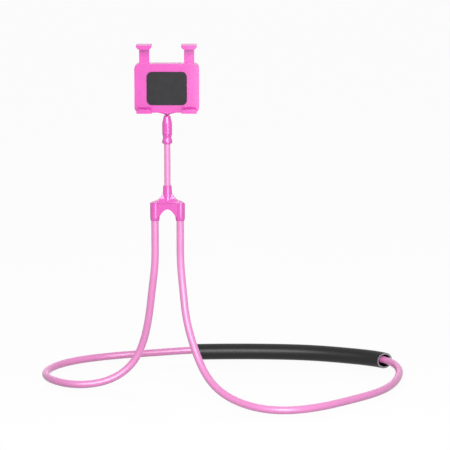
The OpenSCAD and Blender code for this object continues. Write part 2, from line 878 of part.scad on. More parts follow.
module clamp_rear_shell() {
    color(pink_abs) at_mast() difference() {
        union() {
            difference() {
                upright(parting, back_face, clamp_z) rounded_plate(body_w, body_h, corner_r);
                upright(parting - over, inner_back, clamp_z + wall)
                    rounded_plate(body_w - 2 * wall, body_h - 2 * wall, corner_r - wall);
            }
            upright(back_face, back_face + panel_t, clamp_z + (body_h - panel_h) / 2)
                rounded_plate(panel_w, panel_h, corner_r);
            for (side = [-1, 1], z = [clamp_z + screw_inset, body_top - screw_inset])
                translate([side * screw_x, inner_back + wall / 2, z]) rotate([90, 0, 0]) {
                    cylinder(r = boss_r, h = inner_back + wall / 2 - parting);
                    cylinder(r = boss_r + boss_foot, h = wall);
                }
            // Ribs that the sliding legs run against
            for (side = [-1, 1])
                translate([side * rail_x - wall / 2, rail_back + slot_gap, clamp_z + wall / 2])
                    cube([wall, inner_back - rail_back, body_h - wall]);
            // Pegs that the springs are hooked to
            for (side = [-1, 1])
                translate([side * spring_x, inner_back + wall / 2, anchor_z]) rotate([90, 0, 0])
                    cylinder(r = peg_r, h = wall / 2 + inner_back - rail_back - snug);
        }
        // Slots for the sliding legs
        for (side = [-1, 1])
            translate([side * rail_x - rail_w / 2 - slot_gap, parting - over, body_top - 1.5 * wall])
                cube([rail_w + 2 * slot_gap, rail_back - parting + over + slot_gap, 2 * wall]);
        // Open slot for the root of the ball stud
        translate([0, 0, clamp_z - over]) cylinder(r = stud_root_d / 2 + run_fit, h = wall + 2 * over);
        translate([-stud_root_d / 2 - run_fit, parting - over, clamp_z - over])
            cube([stud_root_d + 2 * run_fit, over - parting, wall + 2 * over]);
        at_body_screws() {
            translate([0, 0, -over]) cylinder(r = screw_head_r + snug, h = over + screw_sink + screw_head_h);
            cylinder(r = screw_d / 2 + run_fit, h = body_t);
        }
    }
}

// Outline of a claw's lip, with its root at the bottom
module lip_outline() {
    root = claw_w / 2;
    tip = claw_tip_w / 2;
    polygon([
        [-root, 0], [root, 0], [root, lip_h * 0.35], [root - (root - tip) * 0.3, lip_h * 0.6],
        [tip + (root - tip) * 0.2, lip_h * 0.85], [tip - claw_t * 0.4, lip_h],
        [-tip + claw_t * 0.4, lip_h], [-tip - (root - tip) * 0.2, lip_h * 0.85],
        [-root + (root - tip) * 0.3, lip_h * 0.6], [-root, lip_h * 0.35]
    ]);
}

// A claw with its outer face at z = 0 and its lip turned up
module claw(depth_back) {
    translate([-claw_w / 2, lip_front, 0]) cube([claw_w, depth_back - lip_front, claw_t]);
    upright(lip_front, lip_back, 0) lip_outline();
}

module claw_pad() {
    pad_w = claw_tip_w - claw_t / 2;
    pad_front = lip_back + seat_gap;
    pad_back = front_face - pad_t - seat_gap;
    translate([-pad_w / 2, pad_front, claw_t]) cube([pad_w, pad_back - pad_front, claw_pad_t]);
}

module at_lower_claws() {
    for (side = [-1, 1]) translate([side * rail_x, 0, lower_claw_z]) children();
}

module at_upper_claws() {
    for (side = [-1, 1])
        translate([side * rail_x, 0, upper_claw_top]) mirror([0, 0, 1]) children();
}

module clamp_front_cover() {
    color(pink_abs) at_mast() difference() {
        union() {
            upright(front_face, parting, clamp_z) rounded_plate(body_w, body_h, corner_r);
            at_lower_claws() claw(front_face + cover_t / 2);
        }
        at_body_screws()
            cylinder(r = screw_d / 2 + run_fit, h = body_t - screw_tip_cover + seat_gap / 3);
    }
}

module cover_screws() {
    color(steel) at_mast() at_body_screws() {
        translate([0, 0, screw_sink]) difference() {
            cylinder(r = screw_head_r, h = screw_head_h);
            cross_slot(screw_head_r, screw_head_h / 2);
        }
        translate([0, 0, screw_head_h])
            cylinder(r = screw_d / 2, h = body_t - screw_tip_cover - screw_head_h);
    }
}

grip_w = body_w * 0.62;
grip_h = body_h * 0.68;

module grip_pad() {
    color(black_rubber) at_mast()
        upright(front_face - pad_t, front_face, clamp_z + (body_h - grip_h) / 2)
            rounded_plate(grip_w, grip_h, corner_r);
}

module lower_claw_pads() {
    color(black_rubber) at_mast() at_lower_claws() claw_pad();
}

module upper_claw_pads() {
    color(black_rubber) at_mast() at_upper_claws() claw_pad();
}

module upper_jaw() {
    color(pink_abs) at_mast() {
        for (side = [-1, 1])
            translate([side * rail_x - rail_w / 2, rail_front, bar_low])
                cube([rail_w, rail_t, upper_claw_top - bar_low]);
        translate([-bar_half_w, rail_front, bar_low]) cube([2 * bar_half_w, rail_t, bar_h]);
        at_upper_claws() claw(rail_back);
        for (side = [-1, 1])
            translate([side * spring_x, inner_back - 2 * seat_gap, hook_z]) rotate([90, 0, 0])
                cylinder(r = peg_r, h = inner_back - 2 * seat_gap - rail_back + rail_t / 2);
    }
}

// Springs: an eye round each peg and plain curls between them

spring_r = spring_d / 2;
eye_r = peg_r + spring_wire_d / 2 + 1.5 * snug;
curl_rings = 8;
eye_rings = 10;
// Turn at which an eye starts, and how far it goes round
eye_start = 90;
eye_sweep = 290;
spring_sides = 6;
curl_low = anchor_z + eye_r + spring_wire_d * 1.5;
curl_high = hook_z - eye_r - spring_wire_d * 1.5;
curl_rise = (curl_high - curl_low) / spring_curls;
curl_path = [
    for (i = [0 : spring_curls * curl_rings])
        let (turn = 360 * i / curl_rings)
        [spring_r * sin(turn), spring_r * cos(turn), curl_low + curl_rise * i / curl_rings]
];
// An eye starts beside its peg, goes round the far side and ends towards the curls
function eye(z, sign) = [
    for (i = [0 : eye_rings])
        let (turn = eye_start + eye_sweep * i / eye_rings)
        [eye_r * cos(turn) * sign, 0, z + eye_r * sin(turn) * sign]
];
function reversed(list) = [for (i = [len(list) - 1 : -1 : 0]) list[i]];
spring_path = concat(eye(anchor_z, 1), curl_path, reversed(eye(hook_z, -1)));

// Least gap of the wire to itself, measured over points at least half a curl apart
spring_gap = min([
    for (i = [0 : len(spring_path) - 1])
        for (j = [i + curl_rings / 2 : 1 : len(spring_path) - 1])
            norm(spring_path[i] - spring_path[j]) - spring_wire_d
]);
echo(least_spring_gap = spring_gap);
echo(middle = middle, mast = [mast_x, mast_y, 0] - middle);

module jaw_spring(side) {
    color(steel) at_mast() translate([side * spring_x, spring_y, 0])
        swept_rod(spring_path, spring_wire_d / 2, spring_sides, [0, 1, 0]);
}

loop_jacket();
loop_wire();
neck_sleeve();
leg_jacket(-1);  // leg_jacket_left
leg_jacket(1);  // leg_jacket_right
leg_wire(-1);  // leg_wire_left
leg_wire(1);  // leg_wire_right
leg_crimps();
yoke_front();
yoke_rear();
yoke_screws();
arm_jacket_lower();
arm_wire_lower();
arm_crimp_lower();
arm_jacket_middle();
arm_wire_middle();
arm_jacket_upper();
arm_wire_upper();
arm_crimp_upper();
ball_collar();
lock_nut();
ball_seat();
ball_stud();
clamp_rear_shell();
clamp_front_cover();
cover_screws();
grip_pad();
lower_claw_pads();
upper_jaw();
upper_claw_pads();
jaw_spring(-1);  // jaw_spring_left
jaw_spring(1);  // jaw_spring_right
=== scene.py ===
"""Flexible phone holder.

A bendable neck loop with a foam sleeve carries a yoke, an arm, a ball joint and a sprung phone clamp.
"""

import math

import bmesh
import bpy
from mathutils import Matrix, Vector


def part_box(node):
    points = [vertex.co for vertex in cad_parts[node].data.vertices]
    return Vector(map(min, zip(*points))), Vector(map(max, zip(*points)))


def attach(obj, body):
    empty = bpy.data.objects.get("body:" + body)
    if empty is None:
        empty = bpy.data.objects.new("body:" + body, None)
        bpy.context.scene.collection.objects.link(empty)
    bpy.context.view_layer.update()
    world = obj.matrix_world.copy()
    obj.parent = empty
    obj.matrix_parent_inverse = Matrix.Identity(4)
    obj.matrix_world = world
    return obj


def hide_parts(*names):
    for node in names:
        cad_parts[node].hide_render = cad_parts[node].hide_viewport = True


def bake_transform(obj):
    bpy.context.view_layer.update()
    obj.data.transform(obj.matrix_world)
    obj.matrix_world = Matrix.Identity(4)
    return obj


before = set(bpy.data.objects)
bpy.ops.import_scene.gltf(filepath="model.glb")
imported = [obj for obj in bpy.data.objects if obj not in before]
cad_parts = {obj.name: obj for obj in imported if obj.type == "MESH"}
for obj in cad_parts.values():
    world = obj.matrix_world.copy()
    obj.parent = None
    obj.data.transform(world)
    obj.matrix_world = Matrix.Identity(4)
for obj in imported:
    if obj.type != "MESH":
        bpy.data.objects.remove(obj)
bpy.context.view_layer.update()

bl_info = {
    "name": "Flexible phone holder",
    "version": (1, 0, 0),
    "blender": (4, 5, 0),
    "location": "View3D > Sidebar > Phone holder",
    "description": "Builds the visible pieces of a bendable neck-loop phone holder on its CAD frame",
    "category": "Object",
}

MM = 0.001
# Sides of the jacketed tubes
TUBE_SIDES = 32


def middle_of(node):
    """Middle of the box round a CAD node."""
    low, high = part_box(node)
    return (low + high) / 2


# The mast stands on the axis of the lock nut
MAST = middle_of("lock_nut").xy
# The legs bend where their jackets leave the loop's
BEND_Z = (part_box("leg_jacket_left")[0].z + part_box("loop_jacket")[1].z) / 2


# Sizes and colours that a user would change


class LoopSizes(bpy.types.PropertyGroup):
    width: bpy.props.FloatProperty(
        name="Loop width", description="Width of the loop over its centre line", default=0.434,
        unit="LENGTH")
    depth: bpy.props.FloatProperty(
        name="Loop depth", description="Depth of the loop over its centre line", default=0.255,
        unit="LENGTH")
    jacket: bpy.props.FloatProperty(
        name="Jacket diameter", description="Outside diameter of the loop's soft jacket", default=0.009,
        unit="LENGTH")
    leg_pitch: bpy.props.FloatProperty(
        name="Leg distance", description="Distance between the two legs", default=0.030, unit="LENGTH")
    arm_jacket: bpy.props.FloatProperty(
        name="Arm jacket diameter", description="Outside diameter of the arm's jacket", default=0.0075,
        unit="LENGTH")
    sleeve: bpy.props.FloatProperty(
        name="Sleeve diameter", description="Outside diameter of the foam sleeve", default=0.020,
        unit="LENGTH")
    sleeve_bore: bpy.props.FloatProperty(
        name="Sleeve bore", description="Bore of the foam sleeve", default=0.015, unit="LENGTH")
    seat_gap: bpy.props.FloatProperty(
        name="Sleeve seat gap", description="Gap between the jacket and the top of the sleeve's bore",
        default=0.0003, unit="LENGTH")


class EdgeSizes(bpy.types.PropertyGroup):
    moulded: bpy.props.FloatProperty(
        name="Moulded edge", description="Radius on the edges of moulded plastic", default=0.0005,
        unit="LENGTH")
    claw: bpy.props.FloatProperty(
        name="Claw edge", description="Radius on the edges of a claw", default=0.0007, unit="LENGTH")
    pad: bpy.props.FloatProperty(
        name="Pad edge", description="Radius on the edges of a rubber pad", default=0.0002, unit="LENGTH")
    metal: bpy.props.FloatProperty(
        name="Metal edge", description="Radius on the edges of turned metal", default=0.00015,
        unit="LENGTH")


class Finishes(bpy.types.PropertyGroup):
    abs_pink: bpy.props.StringProperty(
        name="Moulded pink", description="Colour of the moulded plastic, as sRGB hex", default="#E64BBD")
    jacket_pink: bpy.props.StringProperty(
        name="Jacket pink", description="Colour of the soft jacket, as sRGB hex", default="#EE88CC")
    foam: bpy.props.StringProperty(
        name="Foam", description="Colour of the foam's skin, as sRGB hex", default="#09090A")
    # The cut foam's light grey is partly the open cells' own grey and partly a painted highlight of the lit
    # rim
    foam_cut: bpy.props.StringProperty(
        name="Cut foam with painted rim highlight", description="Colour of the foam where it is cut, as sRGB hex", default="#9A9A9E")
    rubber: bpy.props.StringProperty(
        name="Rubber", description="Colour of the pads, as sRGB hex", default="#232325")


class StudioSettings(bpy.types.PropertyGroup):
    elevation: bpy.props.FloatProperty(
        name="Camera height", description="Camera angle above the horizon",
        default=math.radians(11), subtype="ANGLE")
    frame_width: bpy.props.FloatProperty(
        name="Frame width", description="Width that the picture covers at the mast", default=0.5355,
        unit="LENGTH")
    distance: bpy.props.FloatProperty(
        name="Camera distance", description="Distance of the camera from its target", default=2.65,
        unit="LENGTH")
    key: bpy.props.FloatProperty(
        name="Key light", description="Power of the large soft box at the right", default=4.9, min=0.0,
        unit="POWER")
    front: bpy.props.FloatProperty(
        name="Front light", description="Power of the soft box above the camera", default=13.2, min=0.0,
        unit="POWER")
    back: bpy.props.FloatProperty(
        name="Back light", description="Strength of the soft lamp behind", default=3.0, min=0.0)
    room: bpy.props.FloatProperty(
        name="Room light", description="Strength of the soft light from above", default=0.45, min=0.0)


# Shared tools


def linear(hex_colour):
    """An sRGB hex colour as linear red, green, blue and alpha."""
    parts = [int(hex_colour[i:i + 2], 16) / 255 for i in (1, 3, 5)]
    return tuple(p / 12.92 if p <= 0.04045 else ((p + 0.055) / 1.055) ** 2.4 for p in parts) + (1.0,)


def add_node(tree, kind, links=None, inputs=None, **settings):
    """Adds a node with its settings, then its input values and the links into it."""
    node = tree.nodes.new(kind)
    for key, value in settings.items():
        setattr(node, key, value)
    for key, value in (inputs or {}).items():
        node.inputs[key].default_value = value
    for key, source in (links or {}).items():
        tree.links.new(source, node.inputs[key])
    return node


def new_material(name):
    """A material whose node tree is still empty, and that tree."""
    material = bpy.data.materials.new(name)
    material.use_nodes = True
    material.node_tree.nodes.clear()
    return material, material.node_tree


def finish_surface(tree, colour, tint, rough, relief, values):
    """A Principled surface whose colour, roughness and bump each follow a pattern.

    tint holds a socket and the darkest and lightest share of the colour, then the pattern's values where
    these stand if they aren't 0.3 and 0.7. rough holds a socket and the lowest and highest roughness,
    relief a socket, a strength and a depth, and values what else is set on the surface.
    """
    base = linear(colour)
    pattern, dark, light, *stands = tint
    ramp = add_node(tree, "ShaderNodeValToRGB", {"Fac": pattern})
    for i, (share, stand) in enumerate(zip((dark, light), stands or (0.3, 0.7))):
        stop = ramp.color_ramp.elements[i]
        stop.position = stand
        stop.color = tuple(c * share for c in base[:3]) + (1.0,)
    pattern, low, high = rough
    gloss = add_node(tree, "ShaderNodeMapRange", {"Value": pattern}, {"To Min": low, "To Max": high})
    pattern, strength, depth = relief
    bump = add_node(tree, "ShaderNodeBump", {"Height": pattern}, {"Strength": strength, "Distance": depth})
    links = {
        "Base Color": ramp.outputs["Color"],
        "Roughness": gloss.outputs["Result"],
        "Normal": bump.outputs["Normal"],
    }
    shader = add_node(tree, "ShaderNodeBsdfPrincipled", links, values)
    add_node(tree, "ShaderNodeOutputMaterial", {"Surface": shader.outputs["BSDF"]})


def per_mm(size):
    """Noise scale for a pattern whose grains are this many millimetres apart."""
    return 1.0 / (size * MM)


# Materials

# The gloss of plastic and foam skins lies in a thin coat of high index and low weight, so that their
# edges keep their colour against white
COATED = {"Specular IOR Level": 0.1, "Coat IOR": 2.4}


def moulded_abs(colour):
    """Injection-moulded ABS with a satin spark-eroded grain: soft broad highlights over a faint mottle."""
    material, tree = new_material("moulded_abs_satin_pink")
    place = add_node(tree, "ShaderNodeTexCoord").outputs["Object"]
    # The grain is about 0.15 mm on the part and drawn at 0.6 mm so that it shows
    grain = add_node(tree, "ShaderNodeTexNoise", {"Vector": place}, {"Scale": per_mm(0.6), "Detail": 3.0})
    # Flow marks of the melt, about 14 mm apart
    flow = add_node(
        tree, "ShaderNodeTexNoise", {"Vector": place},
        {"Scale": per_mm(14), "Detail": 2.0, "Distortion": 0.6})
    finish_surface(
        tree, colour, tint=(flow.outputs["Fac"], 0.95, 1.03), rough=(grain.outputs["Fac"], 0.30, 0.42),
        relief=(grain.outputs["Fac"], 0.10, 0.05 * MM),
        values={**COATED, "IOR": 1.53, "Coat Weight": 0.5, "Coat Roughness": 0.1})
    return material


def soft_jacket(colour):
    """Extruded soft PVC jacket: smooth and slightly milky, with a wide soft highlight."""
    material, tree = new_material("extruded_pvc_jacket_pink")
    place = add_node(tree, "ShaderNodeTexCoord").outputs["Object"]
    # Faint swelling of the extrusion, about 5 mm apart, skin grain of 0.1 mm drawn at 0.8 mm so that it
    # shows, and a change of tone over 45 mm
    swell = add_node(tree, "ShaderNodeTexNoise", {"Vector": place}, {"Scale": per_mm(5), "Detail": 1.0})
    grain = add_node(tree, "ShaderNodeTexNoise", {"Vector": place}, {"Scale": per_mm(0.8), "Detail": 2.0})
    tone = add_node(tree, "ShaderNodeTexNoise", {"Vector": place}, {"Scale": per_mm(45), "Detail": 2.0})
    height = add_node(
        tree, "ShaderNodeMath", {0: swell.outputs["Fac"], 1: grain.outputs["Fac"]}, operation="ADD")
    finish_surface(
        tree, colour, tint=(tone.outputs["Fac"], 0.96, 1.03), rough=(grain.outputs["Fac"], 0.22, 0.30),
        relief=(height.outputs["Value"], 0.04, 0.06 * MM),
        values={**COATED, "IOR": 1.50, "Coat Weight": 0.65, "Coat Roughness": 0.33})
    return material


def foam_skin(colour):
    """Closed-cell NBR foam with its moulded skin: near black, a wide dull sheen and fine pores."""
    material, tree = new_material("closed_cell_nbr_foam_skin")
    place = add_node(tree, "ShaderNodeTexCoord").outputs["Object"]
    # Pores are about 0.3 mm on the part and drawn at 0.9 mm so that they show; the skin waves every 7 mm
    pores = add_node(tree, "ShaderNodeTexVoronoi", {"Vector": place}, {"Scale": per_mm(0.9)})
    waves = add_node(tree, "ShaderNodeTexNoise", {"Vector": place}, {"Scale": per_mm(7), "Detail": 3.0})
    height = add_node(
        tree, "ShaderNodeMath", {0: pores.outputs["Distance"], 1: waves.outputs["Fac"]}, operation="ADD")
    finish_surface(
        tree, colour, tint=(waves.outputs["Fac"], 0.85, 1.15),
        rough=(pores.outputs["Distance"], 0.30, 0.42), relief=(height.outputs["Value"], 0.18, 0.12 * MM),
        values={**COATED, "IOR": 1.50, "Coat Weight": 0.15, "Coat Roughness": 0.34})
    return material


def foam_cut(colour):
    """NBR foam where the knife cut it: open grey cells, no skin and no shine. Its light grey is partly the
    cells' own grey and partly a painted highlight of the lit rim.
    """
    material, tree = new_material("closed_cell_nbr_foam_cut")
    place = add_node(tree, "ShaderNodeTexCoord").outputs["Object"]
    # Open cells about 0.3 mm wide, drawn at 0.6 mm so that they show
    cells = add_node(tree, "ShaderNodeTexVoronoi", {"Vector": place}, {"Scale": per_mm(0.6)})
    finish_surface(
        tree, colour, tint=(cells.outputs["Distance"], 0.55, 1.10, 0.1, 0.6),
        rough=(cells.outputs["Distance"], 0.80, 0.95), relief=(cells.outputs["Distance"], 0.40, 0.15 * MM),
        values={"IOR": 1.50, "Specular IOR Level": 0.3})
    return material


def pad_rubber(colour):
    """Moulded silicone rubber pad: matt black with a fine grip texture of small round dimples."""
    material, tree = new_material("moulded_silicone_rubber_black")
    place = add_node(tree, "ShaderNodeTexCoord").outputs["Object"]
    # Dimples 1.6 mm apart, and dust in patches of 9 mm
    dimples = add_node(
        tree, "ShaderNodeTexVoronoi", {"Vector": place}, {"Scale": per_mm(1.6), "Randomness": 0.25},
        feature="SMOOTH_F1")
    dust = add_node(tree, "ShaderNodeTexNoise", {"Vector": place}, {"Scale": per_mm(9), "Detail": 4.0})
    finish_surface(
        tree, colour, tint=(dust.outputs["Fac"], 0.80, 1.50), rough=(dust.outputs["Fac"], 0.55, 0.75),
        relief=(dimples.outputs["Distance"], 0.50, 0.25 * MM),
        values={"IOR": 1.42, "Specular IOR Level": 0.4})
    return material


def drawn_metal(name, colour, line_mm, rough_low, rough_high):
    """Drawn or turned metal: fine lines round the piece and a sharp, slightly broken highlight."""
    material, tree = new_material(name)
    place = add_node(tree, "ShaderNodeTexCoord").outputs["Object"]
    # The pattern is drawn out to the sides, so that its lines run round the piece
    stretched = add_node(
        tree, "ShaderNodeMapping", {"Vector": place}, {"Scale": (0.15, 0.15, 1.0)}).outputs["Vector"]
    lines = add_node(
        tree, "ShaderNodeTexNoise", {"Vector": stretched}, {"Scale": per_mm(line_mm), "Detail": 4.0})
    finish_surface(
        tree, colour, tint=(lines.outputs["Fac"], 0.85, 1.05),
        rough=(lines.outputs["Fac"], rough_low, rough_high), relief=(lines.outputs["Fac"], 0.15, 0.03 * MM),
        values={"Metallic": 1.0})
    return material


def natural_nylon(colour):
    """Natural nylon: milky off-white, smooth from the ball that runs in it."""
    material, tree = new_material("natural_nylon_satin")
    place = add_node(tree, "ShaderNodeTexCoord").outputs["Object"]
    # Cloudiness in patches of 2.5 mm
    cloud = add_node(tree, "ShaderNodeTexNoise", {"Vector": place}, {"Scale": per_mm(2.5), "Detail": 3.0})
    finish_surface(
        tree, colour, tint=(cloud.outputs["Fac"], 0.93, 1.00), rough=(cloud.outputs["Fac"], 0.35, 0.50),
        relief=(cloud.outputs["Fac"], 0.08, 0.04 * MM), values={"IOR": 1.53})
    return material


MATERIALS = {}


def make_materials(finishes):
    MATERIALS.update(
        abs=moulded_abs(finishes.abs_pink),
        jacket=soft_jacket(finishes.jacket_pink),
        foam=foam_skin(finishes.foam),
        # Cut foam, its light grey partly a painted highlight of the lit rim
        foam_cut=foam_cut(finishes.foam_cut),
        rubber=pad_rubber(finishes.rubber),
        # Drawn aluminium bend wire, lines 0.3 mm apart
        wire=drawn_metal("drawn_aluminium_wire", "#C9CACD", 0.3, 0.28, 0.42),
        # Steel of the crimps and the screws under dull zinc, lines 0.5 mm apart
        zinc=drawn_metal("zinc_plated_steel", "#A9ABB0", 0.5, 0.30, 0.45),
        # Hardened spring wire, bright from drawing, lines 0.2 mm apart
        spring=drawn_metal("drawn_spring_steel", "#9EA0A6", 0.2, 0.22, 0.34),
        nylon=natural_nylon("#E9E7DF"),
    )


# Mesh tools

# Points of a CAD mesh that lie closer than this are one point, and faces this close to flat are one face
WELD = 0.002 * MM
FLAT = math.radians(0.6)


def show(mesh, name, *materials):
    """Puts a mesh with its materials in the scene."""
    piece = bpy.data.objects.new(name, mesh)
    bpy.context.scene.collection.objects.link(piece)
    for material in materials:
        mesh.materials.append(material)
    return piece


def applied(piece, name):
    """Turns a piece with live modifiers into a plain mesh of its own."""
    graph = bpy.context.evaluated_depsgraph_get()
    mesh = bpy.data.meshes.new_from_object(piece.evaluated_get(graph))
    mesh.name = name
    piece.modifiers.clear()
    piece.data = mesh


def shade(mesh, sharp=38):
    """Smooth shading, apart from edges that are sharper than an angle in degrees."""
    for face in mesh.polygons:
        face.use_smooth = True
    mesh.set_sharp_from_angle(angle=math.radians(sharp))


def soften(piece, name, width, sharp):
    """A live bevel on the edges that are sharper than an angle in degrees."""
    edge = piece.modifiers.new(name, "BEVEL")
    edge.width = width
    edge.segments = 2
    edge.limit_method = "ANGLE"
    edge.angle_limit = math.radians(sharp)


def rounded_copy(node, name, edge, material, segments=2, sharp=32):
    """A merged copy of a CAD node with its edges rounded, which stands for that node."""
    work = bmesh.new()
    work.from_mesh(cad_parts[node].data)
    bmesh.ops.remove_doubles(work, verts=work.verts, dist=WELD)
    bmesh.ops.dissolve_degenerate(work, dist=WELD, edges=work.edges)
    bmesh.ops.dissolve_limit(
        work, angle_limit=FLAT, verts=work.verts, edges=work.edges, use_dissolve_boundaries=False)
    corners = [
        e for e in work.edges
        if len(e.link_faces) == 2 and e.calc_face_angle(0.0) > math.radians(sharp)
    ]
    bmesh.ops.bevel(
        work, geom=corners, offset=edge, offset_type="OFFSET", segments=segments, profile=0.5,
        affect="EDGES", clamp_overlap=True, harden_normals=False)
    mesh = bpy.data.meshes.new(name)
    work.to_mesh(mesh)
    work.free()
    shade(mesh)
    piece = show(mesh, name, material)
    weighted = piece.modifiers.new("Even normals", "WEIGHTED_NORMAL")
    weighted.keep_sharp = True
    applied(piece, name)
    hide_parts(node)
    return piece


def dressed_node(node, material):
    """A CAD node that keeps its shape and gets a finished material."""
    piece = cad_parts[node]
    piece.data.materials.clear()
    piece.data.materials.append(material)


# Geometry Nodes: a tube along a path, and screws at points


def tube_tree(name, radius, sides, capped, material):
    """Sweeps a round profile along the path that the object's mesh holds."""
    tree = bpy.data.node_groups.new(name, "GeometryNodeTree")
    tree.interface.new_socket("Geometry", in_out="INPUT", socket_type="NodeSocketGeometry")
    size = tree.interface.new_socket("Radius", in_out="INPUT", socket_type="NodeSocketFloat")
    count = tree.interface.new_socket("Sides", in_out="INPUT", socket_type="NodeSocketInt")
    caps = tree.interface.new_socket("Capped", in_out="INPUT", socket_type="NodeSocketBool")
    tree.interface.new_socket("Geometry", in_out="OUTPUT", socket_type="NodeSocketGeometry")
    start = add_node(tree, "NodeGroupInput")
    path = add_node(tree, "GeometryNodeMeshToCurve", {"Mesh": start.outputs["Geometry"]})
    profile = add_node(
        tree, "GeometryNodeCurvePrimitiveCircle",
        {"Radius": start.outputs["Radius"], "Resolution": start.outputs["Sides"]})
    tube = add_node(
        tree, "GeometryNodeCurveToMesh",
        {"Curve": path.outputs["Curve"], "Profile Curve": profile.outputs["Curve"],
         "Fill Caps": start.outputs["Capped"]})
    smooth = add_node(tree, "GeometryNodeSetShadeSmooth", {"Geometry": tube.outputs["Mesh"]})
    real = add_node(tree, "GeometryNodeRealizeInstances", {"Geometry": smooth.outputs["Geometry"]})
    dressed = add_node(
        tree, "GeometryNodeSetMaterial", {"Geometry": real.outputs["Geometry"]}, {"Material": material})
    add_node(tree, "NodeGroupOutput", {"Geometry": dressed.outputs["Geometry"]})
    return tree, {size.identifier: radius, count.identifier: sides, caps.identifier: capped}


def with_tree(piece, label, tree, values):
    """Gives a piece a Geometry Nodes modifier, its inputs set by their identifiers."""
    modifier = piece.modifiers.new(label, "NODES")
    modifier.node_group = tree
    for key, value in values.items():
        modifier[key] = value


def tube_along(points, name, radius, sides, capped, material):
    """A round tube or wire along the points, its faces turned outwards."""
    mesh = bpy.data.meshes.new(name)
    mesh.from_pydata([tuple(p) for p in points], [(i, i + 1) for i in range(len(points) - 1)], [])
    piece = show(mesh, name)
    with_tree(piece, "Tube", *tube_tree(name + "_tube", radius, sides, capped, material))
    applied(piece, name)
    work = bmesh.new()
    work.from_mesh(piece.data)
    bmesh.ops.recalc_face_normals(work, faces=work.faces)
    work.to_mesh(piece.data)
    work.free()
    return piece


def screw_tree(name, sizes, material):
    """Sets a cross-head screw at each point, its head at the point and its tip along -Y."""
    tree = bpy.data.node_groups.new(name, "GeometryNodeTree")
    tree.interface.new_socket("Geometry", in_out="INPUT", socket_type="NodeSocketGeometry")
    values = {}
    for label, value in sizes.items():
        socket = tree.interface.new_socket(label, in_out="INPUT", socket_type="NodeSocketFloat")
        values[socket.identifier] = value
    tree.interface.new_socket("Geometry", in_out="OUTPUT", socket_type="NodeSocketGeometry")
    start = add_node(tree, "NodeGroupInput").outputs
    head, head_height, length = start["Head Radius"], start["Head Height"], start["Length"]

    def cylinder(radius, depth, middle, sides):
        body = add_node(
            tree, "GeometryNodeMeshCylinder", {"Radius": radius, "Depth": depth}, {"Vertices": sides})
        place = add_node(tree, "ShaderNodeCombineXYZ", {"Z": middle})
        return add_node(
            tree, "GeometryNodeTransform",
            {"Geometry": body.outputs["Mesh"], "Translation": place.outputs["Vector"]}).outputs["Geometry"]

    # The thread starts halfway up the head, so that the two overlap before they are joined
    half = add_node(tree, "ShaderNodeMath", {0: head_height}, {1: 0.5}, operation="MULTIPLY").outputs[0]
    depth = add_node(tree, "ShaderNodeMath", {0: length, 1: half}, operation="SUBTRACT").outputs[0]
    ends = add_node(tree, "ShaderNodeMath", {0: length, 1: half}, operation="ADD").outputs[0]
    middle = add_node(tree, "ShaderNodeMath", {0: ends}, {1: 0.5}, operation="MULTIPLY").outputs[0]
    solid = add_node(tree, "GeometryNodeMeshBoolean", operation="UNION")
    tree.links.new(cylinder(head, head_height, half, 32), solid.inputs["Mesh 2"])
    tree.links.new(cylinder(start["Thread Radius"], depth, middle, 24), solid.inputs["Mesh 2"])
    recess = add_node(
        tree, "GeometryNodeMeshBoolean", {"Mesh 1": solid.outputs["Mesh"]}, operation="DIFFERENCE")
    # The two slots of the cross, as shares of the head's radius
    long_side, short_side = (
        add_node(tree, "ShaderNodeMath", {0: head}, {1: share}, operation="MULTIPLY").outputs[0]
        for share in (1.3, 0.35))
    for x_side, y_side in ((long_side, short_side), (short_side, long_side)):
        size = add_node(tree, "ShaderNodeCombineXYZ", {"X": x_side, "Y": y_side, "Z": head_height})
        slot = add_node(tree, "GeometryNodeMeshCube", {"Size": size.outputs["Vector"]})
        tree.links.new(slot.outputs["Mesh"], recess.inputs["Mesh 2"])
    copies = add_node(
        tree, "GeometryNodeInstanceOnPoints",
        {"Points": start["Geometry"], "Instance": recess.outputs["Mesh"]},
        {"Rotation": (math.radians(90), 0.0, 0.0)})
    real = add_node(tree, "GeometryNodeRealizeInstances", {"Geometry": copies.outputs["Instances"]})
    dressed = add_node(
        tree, "GeometryNodeSetMaterial", {"Geometry": real.outputs["Geometry"]}, {"Material": material})
    add_node(tree, "NodeGroupOutput", {"Geometry": dressed.outputs["Geometry"]})
    return tree, values


def screws_at(points, name, sizes, edge, material):
    """Cross-head screws with their heads at the points and a small radius on every sharp edge."""
    mesh = bpy.data.meshes.new(name)
    mesh.from_pydata([tuple(p) for p in points], [], [])
    piece = show(mesh, name)
    with_tree(piece, "Screws", *screw_tree(name + "_screws", sizes, material))
    soften(piece, "Soft edges", edge, 40)
    applied(piece, name)
    shade(piece.data)
    return piece


# Route of the loop, as in the part's source: shares of the loop's width and depth, of the height of
# the bend and of the lift inside the sleeve, for each bend point between the two straight ends

